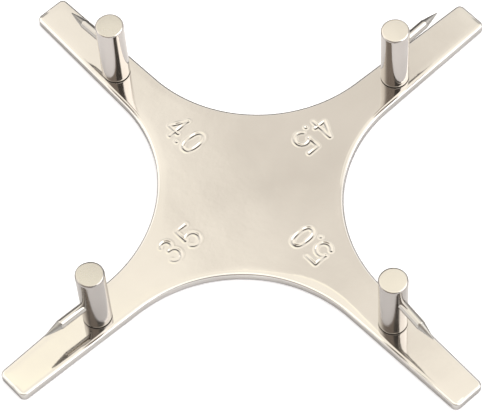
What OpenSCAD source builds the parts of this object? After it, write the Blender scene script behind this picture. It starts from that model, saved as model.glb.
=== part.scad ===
// Case back opener: a four-armed steel cross with an upright post near the end of each arm.
// Each post carries one pointed pin, and each pin stands at its own height above its arm.
// Origin: middle of the cross on the surface it rests on. +Z up, arms along the diagonals.

/* [Plate] */
// Distance from the middle of the cross to the end of each arm
arm_l = 64.1; // [62:0.1:75]
// Width of an arm at its end
arm_end_w = 7.5; // [7:0.1:8.5]
// Width of an arm where its straight sides begin
arm_root_w = 9.2; // [8.8:0.1:11]
// Width across the middle of the cross, between two opposite bays
waist_w = 38.5; // [36:0.1:42]
// Thickness of the plate
plate_t = 2.2; // [1.8:0.1:3]
// Radius of the corners at the end of an arm
corner_r = 1.3; // [1:0.1:2.5]

/* [Posts] */
// Diameter of a post
post_d = 6; // [5:0.1:6.5]
// Height of a post above the plate
post_h = 17; // [15:0.1:22]
// Distance from the middle of the cross to the axis of each post, arm by arm
post_rs = [41.2, 41.8, 41.4, 41.8]; // [39:0.1:44]
// Sideways offset of each post from its arm's axis, arm by arm
post_shifts = [0, 0.3, 0, 0.5]; // [-0.8:0.1:0.8]
// Chamfer around the top of a post
post_chamfer = 0.35; // [0.1:0.05:0.8]
// Diameter of the tenon that goes through the plate
tenon_d = 4; // [3:0.1:4.5]
// Depth of the riveted head, sunk in the underside of the plate
rivet_depth = 0.7; // [0.3:0.1:1]

/* [Pins] */
// Diameter of a pin
pin_d = 2; // [1.2:0.1:2.2]
// Distance from the post's axis to the point of its pin
pin_reach = 12.6; // [10:0.1:16]
// Length of the ground point
point_l = 3.8; // [2.5:0.1:5]
// Distance that a pin goes into its post beyond the post's axis
pin_tail = 1.5; // [0.5:0.1:2]
// Height of the pins' axes above the plate, arm by arm, for the marks 4.5, 4.0, 3.5 and 5.0
pin_heights = [10.2, 9, 7, 11.2]; // [4:0.1:13]
// Angle between each pin and its arm, seen from above
pin_yaws = [2, 2.5, -1.5, -5.5]; // [-8:0.5:8]

/* [Stamped numbers] */
// Height of a digit
digit_h = 5.8; // [4:0.1:6.5]
// Width of a digit between the middles of its strokes
digit_w = 2.6; // [2:0.1:3]
// Width of a stamped stroke
stroke_w = 0.7; // [0.4:0.05:0.8]
// Depth of a stamped stroke
stamp_depth = 0.25; // [0.1:0.05:0.5]
// Distance from the middle of the cross to the middle of each number, arm by arm
number_rs = [19.1, 19.8, 18.4, 17.7]; // [17:0.1:21]
// Distance between the middles of a number's two digits
digit_pitch = 5.1; // [4.5:0.1:6]
// Sideways offset of each number from its arm's axis, arm by arm
number_shifts = [1.1, 0.2, -1, 0.8]; // [-2:0.1:2]

/* [Hidden] */
ARM_COUNT = 4;
MARKS = ["45", "40", "35", "50"];
DOTTED = [true, true, false, true];
$fn = 96;
over = 1; // how far a cut runs past the surface that it opens

// The bays are arcs centred on the X and Y axes. In an arm's own frame, with the arm along +X,
// the centres of its two bays are at [bay_mid, bay_mid] and [bay_mid, -bay_mid].
bay_distance = (waist_w - arm_root_w) / (2 - sqrt(2));
bay_r = bay_distance - waist_w / 2;
bay_mid = bay_distance / sqrt(2);

// Each straight side runs from the corner of the arm's end towards the bay's arc. It aims to touch a
// circle that is smaller by graze, so that it crosses the arc itself at a slight angle.
graze = 0.05;
grazed_r = bay_r - graze;
end_y = arm_end_w / 2;
to_bay = [bay_mid - arm_l, bay_mid - end_y];
side_l = sqrt(to_bay * to_bay - grazed_r * grazed_r);
side_lean = 180 - atan2(to_bay.y, to_bay.x) - asin(grazed_r / norm(to_bay));
root = [arm_l - side_l * cos(side_lean), end_y + side_l * sin(side_lean)];
corner = [arm_l - corner_r, end_y - corner_r * tan(45 - side_lean / 2)];

post_r = post_d / 2;
pin_r = pin_d / 2;
top_z = plate_t + post_h;
rivet_d = tenon_d + 2 * rivet_depth;
tip_r = 0.08; // the ground points are very slightly blunt

function arm_angle(arm) = 45 + 90 * arm;

// Where a post's axis meets the surface that the cross rests on, in its arm's own frame
function post_place(arm) = [post_rs[arm], post_shifts[arm], 0];

// ---- cross_plate ----

function unit(angle) = [cos(angle), sin(angle)];

function turned(p, angle) = [
    p.x * cos(angle) - p.y * sin(angle),
    p.x * sin(angle) + p.y * cos(angle)
];

// Points along an arc, from angle a0 to a1
function arc(centre, r, a0, a1, steps) = [
    for (i = [0 : steps]) centre + r * unit(a0 + (a1 - a0) * i / steps)
];

// Outline of one arm, anticlockwise in the arm's own frame
arm_outline = concat(
    [[root.x, -root.y]],
    arc([corner.x, -corner.y], corner_r, side_lean - 90, 0, 8),
    arc(corner, corner_r, 0, 90 - side_lean, 8),
    [root]
);

module outline() {
    difference() {
        polygon([
            for (arm = [0 : ARM_COUNT - 1])
                for (p = arm_outline)
                    turned(p, arm_angle(arm))
        ]);
        for (arm = [0 : ARM_COUNT - 1])
            rotate(90 * arm) translate([bay_distance, 0]) circle(bay_r);
    }
}

// Hole for a post's tenon, with a countersink below for its riveted head
module tenon_hole() {
    translate([0, 0, -over]) cylinder(d = tenon_d, h = plate_t + 2 * over);
    translate([0, 0, -over])
        cylinder(d1 = rivet_d + 2 * over, d2 = tenon_d, h = rivet_depth + over);
}

function left_of(v) = [-v.y, v.x];

function heading(path, i) = (path[i + 1] - path[i]) / norm(path[i + 1] - path[i]);

// Step from a path's point i to the edge of a stroke whose half width is 1, mitred at corners
function edge_step(path, i) =
    let (
        before = heading(path, max(i - 1, 0)),
        after = heading(path, min(i, len(path) - 2)),
        middle = left_of(before + after) / norm(before + after)
    )
    middle / (middle * left_of(before));

module stroke(path) {
    last = len(path) - 1;
    polygon(concat(
        [for (i = [0 : last]) path[i] + stroke_w / 2 * edge_step(path, i)],
        [for (i = [last : -1 : 0]) path[i] - stroke_w / 2 * edge_step(path, i)]
    ));
}

// An upright oval with flattish sides, with a half width of rx and a half height of ry
module oval(rx, ry) {
    squareness = 0.8;
    polygon([
        for (a = [0 : 10 : 350])
            [
                rx * sign(cos(a)) * pow(abs(cos(a)), squareness),
                ry * sign(sin(a)) * pow(abs(sin(a)), squareness)
            ]
    ]);
}

// The middles of a digit's outer strokes are this far from its centre
half_w = digit_w / 2;
half_h = (digit_h - stroke_w) / 2;

module digit_0() {
    difference() {
        oval(half_w + stroke_w / 2, half_h + stroke_w / 2);
        oval(half_w - stroke_w / 2, half_h - stroke_w / 2);
    }
}

module digit_3() {
    lower_r = 0.55 * half_h;
    upper_r = half_h - lower_r;
    stroke(arc([0, half_h - upper_r], upper_r, 155, -100, 14));
    stroke(arc([0, lower_r - half_h], lower_r, 100, -155, 14));
}

module digit_4() {
    stem_x = 0.4 * half_w;
    bar_y = -0.4 * half_h;
    stroke([[stem_x, -half_h], [stem_x, half_h]]);
    stroke([[stem_x, half_h], [-half_w, bar_y], [half_w, bar_y]]);
}

module digit_5() {
    bowl_r = 0.6 * half_h;
    bowl_y = bowl_r - half_h;
    stroke([[half_w, half_h], [-half_w, half_h], [-0.95 * half_w, bowl_y + 0.5 * bowl_r]]);
    stroke(arc([0, bowl_y], bowl_r, 150, -145, 16));
}

module digit(name) {
    if (name == "0") digit_0();
    if (name == "3") digit_3();
    if (name == "4") digit_4();
    if (name == "5") digit_5();
}

// A stamped number: its first digit is the one nearer the arm's end, and it reads inwards
module number(arm) {
    translate([-digit_pitch / 2, 0]) digit(MARKS[arm][0]);
    translate([digit_pitch / 2, 0]) digit(MARKS[arm][1]);
    if (DOTTED[arm]) translate([0, -half_h]) circle(d = 1.2 * stroke_w);
}

module stamped_number(arm) {
    translate([number_rs[arm], number_shifts[arm], plate_t - stamp_depth])
        rotate([0, 0, 180]) linear_extrude(stamp_depth + over) number(arm);
}

module cross_plate() {
    color("gainsboro")
        difference() {
            linear_extrude(plate_t) outline();
            for (arm = [0 : ARM_COUNT - 1])
                rotate([0, 0, arm_angle(arm)]) {
                    translate(post_place(arm)) tenon_hole();
                    stamped_number(arm);
                }
        }
}

// ---- posts ----

// Places its children on the axis of an arm's post, with +X out along the arm
module at_post(arm) {
    rotate([0, 0, arm_angle(arm)]) translate(post_place(arm)) children();
}

// Places its children where a post's axis and its pin's axis cross, with +Z out along the pin
module at_pin(arm) {
    translate([0, 0, plate_t + pin_heights[arm]])
        rotate([0, 90, pin_yaws[arm]]) children();
}

module post(arm) {
    color("silver")
        at_post(arm)
            difference() {
                rotate_extrude()
                    polygon([
                        [0, 0],
                        [rivet_d / 2, 0],
                        [tenon_d / 2, rivet_depth],
                        [tenon_d / 2, plate_t],
                        [post_r, plate_t],
                        [post_r, top_z - post_chamfer],
                        [post_r - post_chamfer, top_z],
                        [0, top_z]
                    ]);
                at_pin(arm)
                    translate([0, 0, -pin_tail]) cylinder(r = pin_r, h = pin_tail + post_d);
            }
}

// ---- pins ----

module pin(arm) {
    color("lightsteelblue")
        at_post(arm) at_pin(arm)
            rotate_extrude()
                polygon([
                    [0, -pin_tail],
                    [pin_r, -pin_tail],
                    [pin_r, pin_reach - point_l],
                    [tip_r, pin_reach],
                    [0, pin_reach]
                ]);
}

cross_plate();
for (arm = [0 : ARM_COUNT - 1]) {
    post(arm);
    pin(arm);
}
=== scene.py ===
"""Case back opener: a nickel-plated steel cross with four posts, each with one pointed pin.

Lengths are in millimetres until a mesh, a light or the camera is made, which are in metres.
Each arm has its own frame, with X out along the arm and the middle of the cross at the origin.
"""

import math

import bmesh
import bpy
import numpy as np
from mathutils import Matrix, Vector
from mathutils.geometry import delaunay_2d_cdt


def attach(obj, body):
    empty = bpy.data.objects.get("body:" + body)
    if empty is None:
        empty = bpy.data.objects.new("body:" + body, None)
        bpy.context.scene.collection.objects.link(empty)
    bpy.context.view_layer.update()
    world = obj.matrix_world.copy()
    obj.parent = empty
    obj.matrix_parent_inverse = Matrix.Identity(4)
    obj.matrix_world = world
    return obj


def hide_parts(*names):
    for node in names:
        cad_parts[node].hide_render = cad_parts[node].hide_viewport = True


MM = 0.001

# ---- the object's dimensions, as in the CAD model ----
MARKS = ("45", "40", "35", "50")
ARM_ANGLES = (45, 135, 225, 315)
ARM_L = 64.1
ARM_END_W = 7.5
ARM_ROOT_W = 9.2
WAIST_W = 38.5
PLATE_T = 2.2
CORNER_R = 1.3
POST_R = 3.0
POST_RS = (41.2, 41.8, 41.4, 41.8)
POST_SHIFTS = (0.0, 0.3, 0.0, 0.5)
TOP_Z = PLATE_T + 17
TENON_R = 2.0
RIVET_R = 2.7
PIN_R = 1.0
PIN_REACH = 12.6
POINT_L = 3.8
PIN_TAIL = 1.5
PIN_HEIGHTS = (10.2, 9.0, 7.0, 11.2)
PIN_YAWS = (2.0, 2.5, -1.5, -5.5)
DIGIT_H = 5.8
DIGIT_W = 2.6
STROKE_W = 0.7
DIGIT_PITCH = 5.1
DOTTED = (True, True, False, True)
NUMBER_RS = (19.1, 19.8, 18.4, 17.7)
NUMBER_SHIFTS = (1.1, 0.2, -1.0, 0.8)

# ---- detail that only the looks have ----
RIM_R = 0.55  # rounding of the plate's upper rim where it faces the back
FRONT_RIM_R = 0.3  # and where it faces the front
FOOT_R = 0.3  # rounding of its lower rim
POST_ROUNDINGS = (0.4, 0.36, 0.45, 0.42)  # of each post's top, where the CAD has a chamfer
CROWN = 0.03  # how far the middle of a post's top stands above its rim
SEAM_TOP = PLATE_T + 0.24  # a dark undercut line runs around the foot of each post
RECESS = 0.3  # how far a rivet's head is let into the underside of the plate
GROOVE_DEPTH = 0.13
BURR_H = 0.04  # the low ridge that a stamp raises beside its groove
POST_STEPS = 96
PIN_STEPS = 48

# Which of its materials a face takes, on the plate, a post and a pin
RIM_SLOT = 1
FACE_SLOT = 1
SEAM_SLOT = 2
POINT_SLOT = 1

# Painted light and shade: the posts' sides and tops are made darker or lighter arm by arm, in
# place of the dimmer or brighter surroundings that each post mirrors. The tones are matched to
# one view of the object, and don't mean that the posts are of different metals.
SIDE_PAINTED_SHADE = (1, 1, 0.74, 0.78)
SIDE_ROUGH = ((0.07, 0.14), (0.07, 0.14), (0.14, 0.26), (0.12, 0.22))
FACE_PAINTED_LIGHT = (1.16, 0.94, 0.82, 1)

# ---- the plate's outline ----
BAY_DISTANCE = (WAIST_W - ARM_ROOT_W) / (2 - math.sqrt(2))
BAY_R = BAY_DISTANCE - WAIST_W / 2
BAY_MID = BAY_DISTANCE / math.sqrt(2)
END_Y = ARM_END_W / 2
TO_BAY = (BAY_MID - ARM_L, BAY_MID - END_Y)
SIDE_L = math.sqrt(TO_BAY[0] ** 2 + TO_BAY[1] ** 2 - BAY_R**2)
SIDE_LEAN = math.pi - math.atan2(TO_BAY[1], TO_BAY[0]) - math.asin(BAY_R / math.hypot(*TO_BAY))
ROOT = (ARM_L - SIDE_L * math.cos(SIDE_LEAN), END_Y + SIDE_L * math.sin(SIDE_LEAN))
CORNER = (ARM_L - CORNER_R, END_Y - CORNER_R * math.tan(math.pi / 4 - SIDE_LEAN / 2))


def unit(angle):
    return np.array([math.cos(angle), math.sin(angle)])


def turned(points, degrees):
    c, s = unit(math.radians(degrees))
    x, y = points[..., 0], points[..., 1]
    return np.stack([c * x - s * y, s * x + c * y], axis=-1)


def smoothstep(x):
    x = np.clip(x, 0, 1)
    return x * x * (3 - 2 * x)


def half_width(x, inset):
    """Half the arm's width at x, with the outline drawn in by inset."""
    if x <= ROOT[0] - inset * math.sin(SIDE_LEAN):
        return BAY_MID - math.sqrt((BAY_R + inset) ** 2 - (BAY_MID - x) ** 2)
    along = (x - ROOT[0]) * math.tan(SIDE_LEAN)
    return ROOT[1] - along - inset / math.cos(SIDE_LEAN)


def edge_distance(points):
    """Distance of points, in any arm's frame, to the outline on that arm or the middle."""
    x, y = np.abs(points[..., 0]), np.abs(points[..., 1])
    to_arc = np.hypot(BAY_MID - x, BAY_MID - y) - BAY_R
    to_side = (ROOT[0] - x) * math.sin(SIDE_LEAN) + (ROOT[1] - y) * math.cos(SIDE_LEAN)
    along_side = np.where(x > ROOT[0], to_side, to_arc)
    return np.minimum(along_side, ARM_L - x)


# ---- stamped numbers ----
def arc(centre, r, start, end, steps):
    angles = np.radians(np.linspace(start, end, steps + 1))
    return np.array(centre) + r * np.stack([np.cos(angles), np.sin(angles)], axis=-1)


def digit_strokes(name):
    """Middle lines of a digit's strokes, with the digit's centre at the origin."""
    w, h = DIGIT_W / 2, (DIGIT_H - STROKE_W) / 2
    if name == "0":
        angles = np.radians(np.arange(0, 361, 15))
        rounded = [np.sign(f) * np.abs(f) ** 0.8 for f in (np.cos(angles), np.sin(angles))]
        return [np.stack([w * rounded[0], h * rounded[1]], axis=-1)]
    if name == "3":
        low = 0.55 * h
        high = h - low
        return [arc((0, h - high), high, 155, -100, 12), arc((0, low - h), low, 100, -155, 14)]
    if name == "4":
        stem, bar = 0.4 * w, -0.4 * h
        return [np.array([(stem, -h), (stem, h), (-w, bar), (w, bar)])]
    bowl = 0.6 * h
    flag = np.array([(w, h), (-w, h), (-0.95 * w, 1.5 * bowl - h)])
    return [flag, arc((0, bowl - h), bowl, 150, -145, 14)]


def number_strokes(arm):
    """Middle lines of a whole stamped number, in its arm's frame. It reads inwards."""
    strokes = []
    for place, name in zip((-0.5, 0.5), MARKS[arm]):
        strokes += [line + (place * DIGIT_PITCH, 0) for line in digit_strokes(name)]
    if DOTTED[arm]:
        baseline = (STROKE_W - DIGIT_H) / 2
        strokes.append(np.array([(0, baseline), (0.06, baseline)]))
    centre = np.array([NUMBER_RS[arm], NUMBER_SHIFTS[arm]])
    return [centre - line for line in strokes]


def stroke_distance(points, strokes):
    """Distance of points to the nearest of the strokes' middle lines."""
    nearest = np.full(points.shape[:-1], np.inf)
    for line in strokes:
        for a, b in zip(line[:-1], line[1:]):
            span = b - a
            share = np.clip(((points - a) @ span) / (span @ span), 0, 1)
            foot = a + share[..., None] * span
            nearest = np.minimum(nearest, np.linalg.norm(points - foot, axis=-1))
    return nearest


def stamp_height(points, arm):
    """A pressed groove along each stroke with a low burr beside it, struck a little unevenly."""
    distance = stroke_distance(points, number_strokes(arm))
    groove = np.cos(np.clip(distance / (0.5 * STROKE_W), 0, 1) * math.pi / 2) ** 2
    burr = np.exp(-(((distance - 0.66 * STROKE_W) / (0.22 * STROKE_W)) ** 2))
    strike = 0.75 + 0.4 * np.sin(1.1 * points[..., 0] + 1.7 * points[..., 1] + 2.0 * arm)
    return strike * (BURR_H * burr - GROOVE_DEPTH * groove)


# ---- plate ----
def waviness(points):
    """Low swells that buffing leaves, for points in the object's frame."""
    x, y = points[..., 0], points[..., 1]
    swell = 0.010 * np.sin(0.21 * x + 0.09 * y + 0.6) + 0.008 * np.sin(0.11 * x - 0.26 * y)
    ripple = 0.002 * np.sin(0.55 * x + 0.37 * y + 1.0) + 0.002 * np.sin(0.31 * x - 0.62 * y)
    return swell + ripple - 0.022


def shoulder(points, to_edge):
    """Drop of the shoulder that buffing wears along the edges that face the front.

    It is widest at the right of the front bay."""
    x, y = points[..., 0], points[..., 1]
    slope, narrow = 0.19, 0.35
    width = narrow + 1.15 * np.exp(-(((x - 16) / 8) ** 2))
    front_bay = smoothstep((-y - np.abs(x)) / 2) * np.clip(width - to_edge, 0, None)
    side_bays = smoothstep((np.abs(x) - np.abs(y)) / 2) * smoothstep(y / 8)
    return slope * (front_bay + side_bays * np.clip(narrow - to_edge, 0, None))


def top_height(points, arm):
    """Height of the plate's upper face at points in an arm's frame."""
    placed = turned(points, ARM_ANGLES[arm])
    to_edge = edge_distance(points) - RIM_R
    fall = 0.015 * (1 - smoothstep(to_edge / 2)) ** 2 + shoulder(placed, to_edge)
    height = PLATE_T + waviness(placed) - fall
    near = np.abs(points - (NUMBER_RS[arm], NUMBER_SHIFTS[arm])).max(axis=-1) < DIGIT_H
    height[near] += stamp_height(points[near], arm)
    return height


def cross_shares():
    """Where the lines along an arm lie across it: close together at the numbers and the edges."""
    number, edge = 0.62, 0.85
    fine = np.linspace(-number, number, 77)
    outer = np.concatenate([np.linspace(number, edge, 5)[1:], np.linspace(edge, 1, 8)[1:]])
    return np.concatenate([-outer[::-1], fine, outer])


def stations(inset):
    """Where the lines across an arm lie along it: close together under the numbers."""
    first = (WAIST_W / 2 - inset) / math.sqrt(2)
    last = CORNER[0] + (CORNER_R - inset) * math.sin(SIDE_LEAN)
    past_number = 24.5
    fine = np.arange(first, past_number, 0.14)
    coarse = np.arange(past_number, last - 0.5, 0.9)
    return np.concatenate([fine, coarse, [last]])


def cap_edge(count, inset):
    """count + 1 points around an arm's end, from one side to the other."""
    r, bend = CORNER_R - inset, 8
    lean = math.degrees(SIDE_LEAN)
    low = arc((CORNER[0], -CORNER[1]), r, lean - 90, 0, bend)
    high = arc(CORNER, r, 0, 90 - lean, bend)
    ys = np.linspace(-CORNER[1], CORNER[1], count - 2 * bend + 1)[1:-1]
    end = np.stack([np.full(len(ys), ARM_L - inset), ys], axis=-1)
    return np.concatenate([low, end, high])


def arm_grid(inset):
    """Rows of points that cover one arm's upper face, from the middle square to its end."""
    shares = cross_shares()
    rows = [np.stack([np.full(len(shares), x), shares * half_width(x, inset)], axis=-1)
            for x in stations(inset)]
    edge = cap_edge(len(shares) - 1, inset)
    cap_rows = 7
    rows += [rows[-1] + (edge - rows[-1]) * k / cap_rows for k in range(1, cap_rows + 1)]
    return np.array(rows)


def outward(points):
    """Outward normals of the outline at points near it, in an arm's frame."""
    side = np.sign(points[:, 1:])
    to_bay = np.abs(np.array([BAY_MID, BAY_MID]) - np.abs(points))
    bay = to_bay / np.linalg.norm(to_bay, axis=-1, keepdims=True)
    flank = np.tile([math.sin(SIDE_LEAN), math.cos(SIDE_LEAN)], (len(points), 1))
    from_corner = np.abs(points) - np.array(CORNER)
    corner = from_corner / np.linalg.norm(from_corner, axis=-1, keepdims=True)
    x, y = points[:, :1], np.abs(points[:, 1:])
    normal = np.where(x < ROOT[0], bay, flank)
    normal = np.where(x > CORNER[0] + CORNER_R * math.sin(SIDE_LEAN) / 2, corner, normal)
    normal = np.where((x > CORNER[0]) & (y < CORNER[1]), [1.0, 0.0], normal)
    return normal * np.concatenate([np.ones_like(side), side], axis=1)


def arm_rim(grid):
    """The outer line of an arm's grid: along one side, around the end and back."""
    low = grid[:, 0]
    high = grid[::-1, -1]
    return np.concatenate([low, grid[-1, 1:-1], high])


def rim_profile(r):
    """(step outwards, height) down the plate's edge, which is rounded by r at the top."""
    upper = [(0, PLATE_T)]
    upper += [(RIM_R - r * (1 - math.sin(a)), PLATE_T - r * (1 - math.cos(a)))
              for a in np.radians(np.arange(0, 91, 9))]
    lower = [(RIM_R - FOOT_R * (1 - math.cos(a)), FOOT_R * (1 - math.sin(a)))
             for a in np.radians(np.arange(0, 91, 22.5))]
    return upper + [(RIM_R, PLATE_T / 2)] + lower


class MeshMaker:
    """Collects grids of points as quads, then makes one welded mesh of them."""

    def __init__(self):
        self.points = []
        self.faces = []
        self.slots = []

    def add_grid(self, grid, closed=False, slot=0):
        """grid is rows x columns x 3, in mm; closed joins the last column to the first."""
        rows, columns = grid.shape[:2]
        start = len(self.points)
        self.points.extend(grid.reshape(-1, 3))
        for i in range(rows - 1):
            for j in range(columns if closed else columns - 1):
                k = (j + 1) % columns
                corners = (i * columns + j, i * columns + k, (i + 1) * columns + k,
                           (i + 1) * columns + j)
                self.faces.append([start + c for c in corners])
                self.slots.append(slot)

    def add_faces(self, points, faces):
        start = len(self.points)
        self.points.extend(points)
        self.faces.extend([start + i for i in face] for face in faces)
        self.slots.extend([0] * len(faces))

    def bmesh(self):
        mesh = bpy.data.meshes.new("maker")
        mesh.from_pydata(self.points, [], self.faces)
        mesh.polygons.foreach_set("material_index", self.slots)
        bm = bmesh.new()
        bm.from_mesh(mesh)
        bpy.data.meshes.remove(mesh)
        bmesh.ops.remove_doubles(bm, verts=bm.verts, dist=0.0005)
        return bm


def finish_mesh(bm, name, materials, sharp_degrees=35):
    """Turns millimetres into metres and makes the object."""
    bmesh.ops.recalc_face_normals(bm, faces=bm.faces)
    bmesh.ops.scale(bm, verts=bm.verts, vec=(MM, MM, MM))
    mesh = bpy.data.meshes.new(name)
    bm.to_mesh(mesh)
    bm.free()
    for polygon in mesh.polygons:
        polygon.use_smooth = True
    mesh.set_sharp_from_angle(angle=math.radians(sharp_degrees))
    for material in materials:
        mesh.materials.append(material)
    obj = bpy.data.objects.new(name, mesh)
    bpy.context.scene.collection.objects.link(obj)
    return obj


def with_height(points, arm):
    """Points of an arm's upper face, in the object's frame, with their heights."""
    height = top_height(points, arm)
    return np.concatenate([turned(points, ARM_ANGLES[arm]), height[..., None]], axis=-1)


def at_level(points, z):
    return np.concatenate([points, np.full((len(points), 1), z)], axis=1)


def add_underside(maker, outline):
    """Closes the plate below, with a shallow round recess for each rivet's head."""
    places = np.stack([POST_RS, POST_SHIFTS], axis=-1)
    centres = [turned(place, angle) for place, angle in zip(places, ARM_ANGLES)]
    rings = [arc(centre, RIVET_R, 0, 354, 59) for centre in centres]
    edges = []
    for loop in [outline] + rings:
        first = len(edges)
        edges += [(first + i, first + (i + 1) % len(loop)) for i in range(len(loop))]
    flat = [Vector(p) for p in np.concatenate([outline] + rings)]
    inside = 1
    points, _, triangles, *_ = delaunay_2d_cdt(flat, edges, [], inside, 1e-5)
    points = np.array(points)
    kept = [t for t in triangles
            if min(np.linalg.norm(points[t].mean(axis=0) - c) for c in centres) > RIVET_R]
    maker.add_faces(at_level(points, 0), kept)
    for ring in rings:
        maker.add_grid(np.array([at_level(ring, 0), at_level(ring, RECESS)]), closed=True)
        maker.add_faces(at_level(ring, RECESS), [list(range(len(ring)))])


def rim_rings(rim, arm):
    """Lines around an arm's edge, from its upper face down to the outline of its underside."""
    heights = top_height(rim, arm) - PLATE_T
    normals = outward(rim)
    to_back = smoothstep(0.5 + turned(normals, ARM_ANGLES[arm])[:, 1])
    rings = []
    for step, z in rim_profile(FRONT_RIM_R + (RIM_R - FRONT_RIM_R) * to_back):
        step, z = (np.broadcast_to(value, to_back.shape) for value in (step, z))
        flat = turned(rim + step[:, None] * normals, ARM_ANGLES[arm])
        lift = heights * z / PLATE_T
        rings.append(np.concatenate([flat, (z + lift)[:, None]], axis=-1))
    return np.array(rings)


def make_plate(materials):
    maker = MeshMaker()
    shares = cross_shares()
    square = (WAIST_W / 2 - RIM_R) / math.sqrt(2)
    middle = np.stack(np.meshgrid(shares * square, shares * square, indexing="ij"), axis=-1)
    maker.add_grid(with_height(middle, 0))
    grid = arm_grid(RIM_R)
    rims = []
    for arm in range(len(MARKS)):
        maker.add_grid(with_height(grid, arm))
        rims.append(rim_rings(arm_rim(grid), arm))
    rim = np.concatenate(rims, axis=1)
    maker.add_grid(rim, closed=True, slot=RIM_SLOT)
    outline = rim[-1, :, :2]
    moved = np.linalg.norm(outline - np.roll(outline, 1, axis=0), axis=1) > 1e-4
    add_underside(maker, outline[moved])
    return finish_mesh(maker.bmesh(), "cross_plate_body", materials)


# ---- posts and pins ----
def lathe(profile, steps):
    """Points of a turned body: profile is rows of (radius, height), which may vary around it."""
    angles = np.linspace(0, 2 * math.pi, steps, endpoint=False)
    rows = []
    for radius, height in profile:
        r = np.broadcast_to(radius, angles.shape)
        z = np.broadcast_to(height, angles.shape)
        rows.append(np.stack([r * np.cos(angles), r * np.sin(angles), z], axis=-1))
    return np.array(rows)


def uneven(steps, seed, waves=5):
    """A smooth closed curve of values between about -1 and 1, for hand-finished edges."""
    rng = np.random.default_rng(seed)
    angles = np.linspace(0, 2 * math.pi, steps, endpoint=False)
    curve = sum(rng.normal() / n * np.sin(n * angles + rng.uniform(0, 6.3))
                for n in range(1, waves + 1))
    return curve / np.abs(curve).max()


def post_profile(arm):
    rounding = POST_ROUNDINGS[arm]
    edge = rounding * (1 + 0.2 * uneven(POST_STEPS, 10 + arm))
    head = [(0, 0.03), (0.6 * RIVET_R, 0.02), (RIVET_R - 0.25, 0), (RIVET_R - 0.06, 0.06),
            (RIVET_R - 0.03, RECESS), (TENON_R, RECESS), (TENON_R, PLATE_T - 0.2)]
    foot = [(POST_R - 0.2, PLATE_T - 0.2), (POST_R - 0.2, PLATE_T + 0.1),
            (POST_R - 0.12, PLATE_T + 0.18), (POST_R - 0.03, SEAM_TOP)]
    shaft = [(POST_R, z) for z in np.arange(PLATE_T + 0.3, TOP_Z - 0.7, 0.5)]
    rim = [(POST_R - edge * (1 - math.cos(a)), TOP_Z - CROWN - edge * (1 - math.sin(a)))
           for a in np.radians(np.arange(0, 91, 15))]
    face = [(share * (POST_R - 1.2 * rounding), TOP_Z - CROWN * share**2)
            for share in (0.97, 0.8, 0.6, 0.4, 0.2, 0)]
    return head + foot + shaft + rim + face


def pin_profile(arm):
    facet = 1 + 0.02 * uneven(PIN_STEPS, 30 + arm, 7)
    neck = PIN_REACH - POINT_L
    rows = [(0, -PIN_TAIL), (PIN_R - 0.1, -PIN_TAIL), (PIN_R, -PIN_TAIL + 0.1)]
    rows += [(PIN_R, z) for z in np.arange(0, neck - 0.3, 0.6)]
    rows += [(PIN_R, neck - 0.1), (PIN_R - 0.03, neck - 0.02)]
    tip = 0.09
    for share in (0.03, 0.15, 0.3, 0.45, 0.6, 0.75, 0.9, 0.97):
        belly = 0.02 * math.sin(math.pi * share)
        radius = (PIN_R - 0.04) * (1 - share) + tip * share + belly
        rows.append((radius * facet, neck + POINT_L * share))
    rows += [(0.05, PIN_REACH - 0.02), (0, PIN_REACH)]
    return rows


def post_matrix(arm):
    """Turns an arm's frame, moved to its post's axis, into the object's frame."""
    turn = Matrix.Rotation(math.radians(ARM_ANGLES[arm]), 4, "Z")
    return turn @ Matrix.Translation((POST_RS[arm], POST_SHIFTS[arm], 0))


def pin_matrix(arm):
    """Places a pin, made along +Z, on its post."""
    up = Matrix.Translation((0, 0, PLATE_T + PIN_HEIGHTS[arm]))
    yaw = Matrix.Rotation(math.radians(PIN_YAWS[arm]), 4, "Z")
    lie = Matrix.Rotation(math.pi / 2, 4, "Y")
    return post_matrix(arm) @ up @ yaw @ lie


def make_turned(profile, name, matrix, materials, steps):
    maker = MeshMaker()
    maker.add_grid(lathe(profile, steps), closed=True)
    bm = maker.bmesh()
    bm.transform(matrix)
    return finish_mesh(bm, name, materials)


def make_post(arm, materials):
    name = f"post_{MARKS[arm]}_body"
    obj = make_turned(post_profile(arm), name, post_matrix(arm), materials, POST_STEPS)
    for polygon in obj.data.polygons:
        height = polygon.center.z / MM
        if height > TOP_Z - 0.06:
            polygon.material_index = FACE_SLOT
        elif PLATE_T - 0.3 < height < SEAM_TOP:
            polygon.material_index = SEAM_SLOT
    return obj


def make_pin(arm, materials):
    name = f"pin_{MARKS[arm]}_body"
    obj = make_turned(pin_profile(arm), name, pin_matrix(arm), materials, PIN_STEPS)
    into_pin = pin_matrix(arm).inverted()
    for polygon in obj.data.polygons:
        if (into_pin @ (polygon.center / MM)).z > PIN_REACH - POINT_L:
            polygon.material_index = POINT_SLOT
    return obj


# ---- materials ----
class Nodes:
    """Short calls for adding and joining the nodes of one tree."""

    def __init__(self, tree):
        self.tree = tree
        tree.nodes.clear()

    def add(self, kind, **settings):
        node = self.tree.nodes.new(kind)
        for name, value in settings.items():
            if hasattr(node, name):
                setattr(node, name, value)
            else:
                node.inputs[name.replace("_", " ")].default_value = value
        return node

    def join(self, source, target):
        self.tree.links.new(source, target)


def new_material(name):
    material = bpy.data.materials.new(name)
    material.use_nodes = True
    return material, Nodes(material.node_tree)


def noise(nodes, position, scale, detail=2.0, roughness=0.5):
    node = nodes.add("ShaderNodeTexNoise", Scale=scale, Detail=detail, Roughness=roughness)
    nodes.join(position, node.inputs["Vector"])
    return node.outputs["Fac"]


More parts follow.
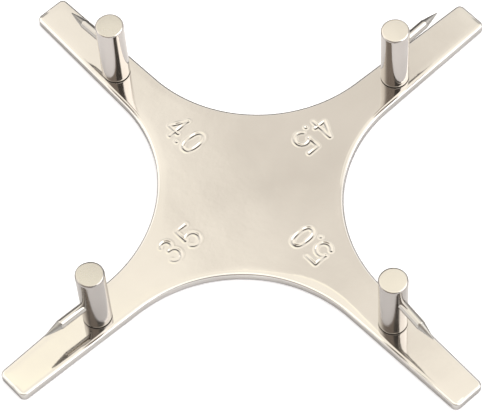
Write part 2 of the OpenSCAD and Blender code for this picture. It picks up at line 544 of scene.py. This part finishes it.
def ramp(nodes, value, stops):
    """A ramp with (position, colour) stops; a plain number stands for a grey."""
    node = nodes.add("ShaderNodeValToRGB")
    elements = node.color_ramp.elements
    while len(elements) < len(stops):
        elements.new(0.5)
    for element, (position, colour) in zip(elements, stops):
        element.position = position
        rgb = (colour,) * 3 if isinstance(colour, (int, float)) else colour
        element.color = (*rgb, 1)
    nodes.join(value, node.inputs["Fac"])
    return node.outputs["Color"]


def shaded(colour, shade):
    return tuple(shade * v for v in colour)


def add_bump(nodes, height, depth, normal=None):
    """The surface's normal, with up to depth metres of height added to normal."""
    bump = nodes.add("ShaderNodeBump", Distance=depth, Strength=1.0)
    nodes.join(height, bump.inputs["Height"])
    if normal is not None:
        nodes.join(normal, bump.inputs["Normal"])
    return bump.outputs["Normal"]


def metal(name, light, dark, rough, scratch, grain=0.0, lines=(1, 1, 1), edge=1.0, peel=0.0):
    """Plated or ground steel: tint varies from dark to light, roughness between the two of rough.

    scratch is the depth in metres of fine hairlines, which run across the stretched axis of
    lines, grain is the depth of the coarse speckle of a ground face, and peel that of the slight
    waves of a polish. edge is how bright the metal stays where it is seen at a grazing angle."""
    material, nodes = new_material(name)
    shader = nodes.add("ShaderNodeBsdfPrincipled", Metallic=1.0, Specular_Tint=(edge,) * 3 + (1,))
    output = nodes.add("ShaderNodeOutputMaterial")
    nodes.join(shader.outputs["BSDF"], output.inputs["Surface"])
    place = nodes.add("ShaderNodeTexCoord").outputs["Object"]
    cloud = noise(nodes, place, 45, 3)
    nodes.join(ramp(nodes, cloud, [(0.35, dark), (0.65, light)]), shader.inputs["Base Color"])
    wear = noise(nodes, place, 160, 5, 0.65)
    low, high = rough
    nodes.join(ramp(nodes, wear, [(0.35, low), (0.7, high)]), shader.inputs["Roughness"])
    stretch = nodes.add("ShaderNodeMapping")
    stretch.inputs["Scale"].default_value = lines
    nodes.join(place, stretch.inputs["Vector"])
    hair = noise(nodes, stretch.outputs["Vector"], 900, 4, 0.7)
    normal = add_bump(nodes, hair, scratch)
    for depth, scale in ((grain, 3500), (peel, 260)):
        if depth:
            normal = add_bump(nodes, noise(nodes, place, scale, 3, 0.6), depth, normal)
    nodes.join(normal, shader.inputs["Normal"])
    return material


def plate_metals():
    plated = metal("nickel_plate", (0.60, 0.57, 0.53), (0.56, 0.53, 0.49), (0.05, 0.10), 1.2e-6,
                   peel=8e-6)
    # Painted light and shade: the rim and side take a lighter copy of the plate's metal, which
    # paints the side band lighter, and its low edge value paints dark outlines where the rim is
    # seen at a grazing angle.
    rim_painted_light = metal("rim_metal_painted_light", (0.74, 0.72, 0.70), (0.66, 0.64, 0.62), (0.10, 0.18), 2e-6,
                   edge=0.6)
    return [plated, rim_painted_light]


def pin_metals():
    # Painted shade: the shaft's low edge value paints dark outlines where the pin is seen at a
    # grazing angle.
    polished = metal("pin_shaft", (0.56, 0.54, 0.51), (0.49, 0.47, 0.45), (0.08, 0.16), 2e-6,
                     edge=0.15)
    ground = metal("ground_point", (0.46, 0.45, 0.43), (0.30, 0.29, 0.28), (0.28, 0.42), 6e-6,
                   grain=2e-5)
    return [polished, ground]


def seam_metal():
    return metal("seam", (0.12, 0.11, 0.10), (0.07, 0.065, 0.06), (0.4, 0.55), 6e-6)


def post_metals(arm):
    # Painted shade and light: the side and the top are darker or lighter copies of one metal, arm
    # by arm.
    mark, painted_tone = MARKS[arm], SIDE_PAINTED_SHADE[arm]
    side = metal(f"post_side_painted_shade_{mark}", shaded((0.60, 0.57, 0.55), painted_tone),
                 shaded((0.55, 0.52, 0.50), painted_tone), SIDE_ROUGH[arm], 2e-6, lines=(0.4, 0.4, 1))
    painted_tone = FACE_PAINTED_LIGHT[arm]
    face = metal(f"post_face_painted_light_{mark}", shaded((0.62, 0.59, 0.53), painted_tone),
                 shaded((0.54, 0.51, 0.46), painted_tone), (0.2, 0.32), 6e-6, grain=1e-5)
    return [side, face]


def plain_floor():
    """White paper, lit more for the camera than for the metal that mirrors it."""
    material, nodes = new_material("white_paper")
    paper = nodes.add("ShaderNodeBsdfDiffuse", Color=(0.84, 0.84, 0.86, 1))
    path = nodes.add("ShaderNodeLightPath")
    glow = nodes.add("ShaderNodeEmission", Color=(0.94, 0.96, 1, 1))
    gain = nodes.add("ShaderNodeMath", operation="MULTIPLY")
    nodes.join(path.outputs["Is Camera Ray"], gain.inputs[0])
    gain.inputs[1].default_value = 0.35
    nodes.join(gain.outputs["Value"], glow.inputs["Strength"])
    both = nodes.add("ShaderNodeAddShader")
    nodes.join(paper.outputs["BSDF"], both.inputs[0])
    nodes.join(glow.outputs["Emission"], both.inputs[1])
    output = nodes.add("ShaderNodeOutputMaterial")
    nodes.join(both.outputs["Shader"], output.inputs["Surface"])
    return material


# ---- stage ----
def direction(azimuth, elevation):
    a, e = math.radians(azimuth), math.radians(elevation)
    return (math.cos(a) * math.cos(e), math.sin(a) * math.cos(e), math.sin(e))


TENT_COLOUR = (1.0, 0.98, 0.95, 1)

# Soft patches of the light tent around the object, placed so that the metal mirrors them:
# (azimuth from +X, elevation, radius where full, radius where faded out, colour), in degrees
PATCHES = (
    (165, 48, 20, 46, (1.75, 1.68, 1.55)),
    (97, 82, 15, 40, (1.6, 1.54, 1.41)),
    (112, 66, 2, 7, (1.8, 1.75, 1.5)),
    (92.5, 60.5, 1, 4, (1.32, 1.26, 1.16)),
    (93.5, 57.3, 1, 4.5, (1.17, 1.11, 1.03)),
    (97, 4, 27, 45, (0.12, 0.11, 0.10)),
    (40, 0, 18, 34, (0.18, 0.17, 0.16)),
    (154, 0, 18, 34, (0.18, 0.17, 0.16)),
    (358, 50, 24, 30, (3.0, 2.95, 2.85)),
    (243, 50, 16, 44, (0.48, 0.42, 0.37)),
    (298, 52, 13, 18, (0.13, 0.12, 0.11)),
    (275, 6, 10, 18, (0.25, 0.23, 0.22)),
)


def add_patch(nodes, towards, under, patch):
    """The colour under, or the plain tent's where that is None, with one soft patch over it."""
    azimuth, elevation, full, faded, rgb = patch
    dot = nodes.add("ShaderNodeVectorMath", operation="DOT_PRODUCT")
    nodes.join(towards, dot.inputs[0])
    dot.inputs[1].default_value = direction(azimuth, elevation)
    mask = nodes.add("ShaderNodeMapRange", interpolation_type="SMOOTHSTEP")
    mask.inputs["From Min"].default_value = math.cos(math.radians(faded))
    mask.inputs["From Max"].default_value = math.cos(math.radians(full))
    nodes.join(dot.outputs["Value"], mask.inputs["Value"])
    mix = nodes.add("ShaderNodeMix", data_type="RGBA")
    nodes.join(mask.outputs["Result"], mix.inputs["Factor"])
    if under is None:
        mix.inputs["A"].default_value = TENT_COLOUR
    else:
        nodes.join(under, mix.inputs["A"])
    mix.inputs["B"].default_value = (*rgb, 1)
    return mix.outputs["Result"]


def light_tent():
    """Surroundings that the metal mirrors; the camera itself sees plain white instead."""
    world = bpy.data.worlds.new("light_tent")
    bpy.context.scene.world = world
    world.use_nodes = True
    nodes = Nodes(world.node_tree)
    towards = nodes.add("ShaderNodeTexCoord").outputs["Generated"]
    colour = None
    for patch in PATCHES:
        colour = add_patch(nodes, towards, colour, patch)
    tent = nodes.add("ShaderNodeBackground")
    nodes.join(colour, tent.inputs["Color"])
    seen = nodes.add("ShaderNodeBackground", Color=(1.2, 1.2, 1.2, 1))
    path = nodes.add("ShaderNodeLightPath")
    pick = nodes.add("ShaderNodeMixShader")
    nodes.join(path.outputs["Is Camera Ray"], pick.inputs["Fac"])
    nodes.join(tent.outputs["Background"], pick.inputs[1])
    nodes.join(seen.outputs["Background"], pick.inputs[2])
    output = nodes.add("ShaderNodeOutputWorld")
    nodes.join(pick.outputs["Shader"], output.inputs["Surface"])


def make_floor():
    size, height = 3.0, -0.02 * MM
    mesh = bpy.data.meshes.new("floor")
    corners = [(x * size, y * size, height) for x, y in ((-1, -1), (1, -1), (1, 1), (-1, 1))]
    mesh.from_pydata(corners, [], [(0, 1, 2, 3)])
    mesh.materials.append(plain_floor())
    floor = bpy.data.objects.new("floor", mesh)
    bpy.context.scene.collection.objects.link(floor)


def overhead_light():
    """Brightens the paper; it isn't mirrored in the metal, which shows the tent."""
    lamp = bpy.data.lights.new("overhead", "AREA")
    lamp.shape = "DISK"
    lamp.size = 1.2
    lamp.energy = 2.5
    light = bpy.data.objects.new("overhead", lamp)
    light.location = (-0.15, 0.1, 1.3)
    light.rotation_euler = (-light.location).to_track_quat("-Z", "Y").to_euler()
    light.visible_glossy = False
    light.visible_camera = False
    bpy.context.scene.collection.objects.link(light)


CAMERA_ANGLES = (7.14, 59.40, -5.08)  # azimuth, elevation and roll, in degrees
CAMERA_TARGET = (-1.256, -1.817, 0)
CAMERA_DISTANCE = 546.35
CAMERA_LENS = 195.8


def make_camera():
    azimuth, elevation, roll = (math.radians(v) for v in CAMERA_ANGLES)
    back = Vector((math.sin(azimuth) * math.cos(elevation),
                   -math.cos(azimuth) * math.cos(elevation), math.sin(elevation)))
    level = Vector((math.cos(azimuth), math.sin(azimuth), 0))
    upright = back.cross(level)
    right = level * math.cos(roll) + upright * math.sin(roll)
    up = upright * math.cos(roll) - level * math.sin(roll)
    data = bpy.data.cameras.new("camera")
    data.sensor_width = 36
    data.lens = CAMERA_LENS
    data.clip_start, data.clip_end = 0.01, 20
    camera = bpy.data.objects.new("camera", data)
    turn = Matrix((right, up, back)).transposed().to_4x4()
    place = Vector(CAMERA_TARGET) * MM + back * CAMERA_DISTANCE * MM
    camera.matrix_world = Matrix.Translation(place) @ turn
    bpy.context.scene.collection.objects.link(camera)
    bpy.context.scene.camera = camera


def show(obj, node):
    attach(obj, "root")
    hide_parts(node)


def main():
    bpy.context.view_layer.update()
    bpy.context.scene.view_settings.view_transform = "Standard"
    make_camera()
    light_tent()
    overhead_light()
    make_floor()
    plate, pin, seam = plate_metals(), pin_metals(), seam_metal()
    show(make_plate(plate), "cross_plate")
    for arm, mark in enumerate(MARKS):
        show(make_post(arm, [*post_metals(arm), seam]), f"post_{mark}")
        show(make_pin(arm, pin), f"pin_{mark}")


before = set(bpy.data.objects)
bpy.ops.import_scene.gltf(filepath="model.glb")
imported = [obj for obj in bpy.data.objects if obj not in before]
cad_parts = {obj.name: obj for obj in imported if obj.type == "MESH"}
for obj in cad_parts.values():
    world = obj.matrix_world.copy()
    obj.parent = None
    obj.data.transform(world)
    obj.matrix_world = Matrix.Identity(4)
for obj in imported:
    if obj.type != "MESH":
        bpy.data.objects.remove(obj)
main()
